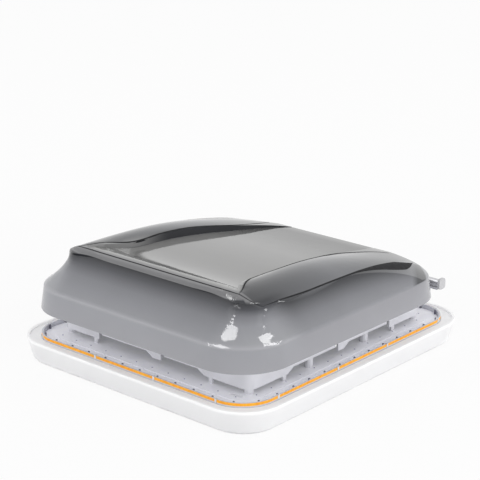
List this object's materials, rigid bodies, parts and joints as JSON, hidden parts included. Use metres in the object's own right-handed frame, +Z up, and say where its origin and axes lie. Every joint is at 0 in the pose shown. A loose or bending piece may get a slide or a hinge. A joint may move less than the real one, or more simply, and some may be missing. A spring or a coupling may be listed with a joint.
{
  "type": "caravan roof vent",
  "caption": "Square caravan roof vent: smoked double-glazed dome hinged at the back on a bow, over a framed neck and a lit inner frame with flyscreen and blackout blinds.",
  "frame": {"origin": "centre of the inner frame's rim, on its lowest plane, which faces the cabin", "axes": "+X across, parallel to the hinge; -Y towards the edge of the dome that opens; +Z up and out through the roof"},
  "size_m": [0.468, 0.52, 0.1774],
  "materials": {
    "lit_rim": "satin",
    "white_plastic": "satin",
    "grey_plate": "satin",
    "led_tape": "satin",
    "clip_plastic": "satin",
    "screw_steel": "satin",
    "frame_plastic": "satin",
    "seal_rubber": "matt",
    "smoked_acrylic": "polished",
    "inner_acrylic": "polished",
    "hinge_aluminium": "satin",
    "bow_plastic": "satin",
    "grip_plastic": "satin",
    "blind_bar_plastic": "satin",
    "net_fabric": "woven",
    "blackout_fabric": "woven"
  },
  "bodies": {
    "frame": {"light_diffuser": "lit_rim", "inner_frame": "white_plastic", "ceiling_plate": "grey_plate", "led_strip": "led_tape", "strip_carrier": "clip_plastic", "strip_clips": "clip_plastic", "clamp_screws": "screw_steel", "screw_caps": "white_plastic", "blind_rail_left": "white_plastic", "blind_rail_right": "white_plastic", "flyscreen_cassette": "white_plastic", "flyscreen_pleats": "net_fabric", "blackout_cassette": "white_plastic", "blackout_pleats": "blackout_fabric", "outer_frame": "frame_plastic", "upstand_seal": "seal_rubber", "hinge_rail": "frame_plastic", "hinge_cap_left": "frame_plastic", "hinge_cap_right": "frame_plastic", "bow_guide_left": "bow_plastic", "bow_guide_right": "bow_plastic"},
    "dome": {"dome_outer_pane": "smoked_acrylic", "dome_inner_pane": "inner_acrylic", "hinge_leaf": "hinge_aluminium", "hinge_pin": "screw_steel", "bow_bracket_left": "bow_plastic", "bow_bracket_right": "bow_plastic", "bow_pivot_pins": "screw_steel"},
    "bow": {"bow_lever": "bow_plastic", "bow_grip": "grip_plastic", "bow_slide_pins": "screw_steel"},
    "catch_left": {"lock_catch_left": "grip_plastic"},
    "catch_right": {"lock_catch_right": "grip_plastic"},
    "flyscreen": {"flyscreen_bar": "blind_bar_plastic"},
    "blackout": {"blackout_bar": "blind_bar_plastic"}
  },
  "joints": [
    {"name": "dome_hinge", "type": "hinge", "parent": "frame", "child": "dome", "pos_m": [0, 0.2305, 0.084], "axis": [-1, 0, 0], "range_deg": [0, 55]},
    {"name": "bow_swing", "type": "hinge", "parent": "dome", "child": "bow", "pos_m": [0, 0.0455, 0.084], "axis": [1, 0, 0], "range_deg": [0, 110.5]},
    {"name": "catch_turn_left", "type": "hinge", "parent": "frame", "child": "catch_left", "pos_m": [-0.09, -0.178, 0.062], "axis": [0, 1, 0], "range_deg": [0, 90]},
    {"name": "catch_turn_right", "type": "hinge", "parent": "frame", "child": "catch_right", "pos_m": [0.09, -0.178, 0.062], "axis": [0, -1, 0], "range_deg": [0, 90]},
    {"name": "flyscreen_slide", "type": "slide", "parent": "frame", "child": "flyscreen", "axis": [0, 1, 0], "range_m": [0, 0.334], "deforming": ["flyscreen_pleats"]},
    {"name": "blackout_slide", "type": "slide", "parent": "frame", "child": "blackout", "axis": [0, -1, 0], "range_m": [0, 0.334], "deforming": ["blackout_pleats"]}
  ],
  "couplings": [
    {"joint": "bow_swing", "follows": "dome_hinge", "ratio": 2}
  ]
}
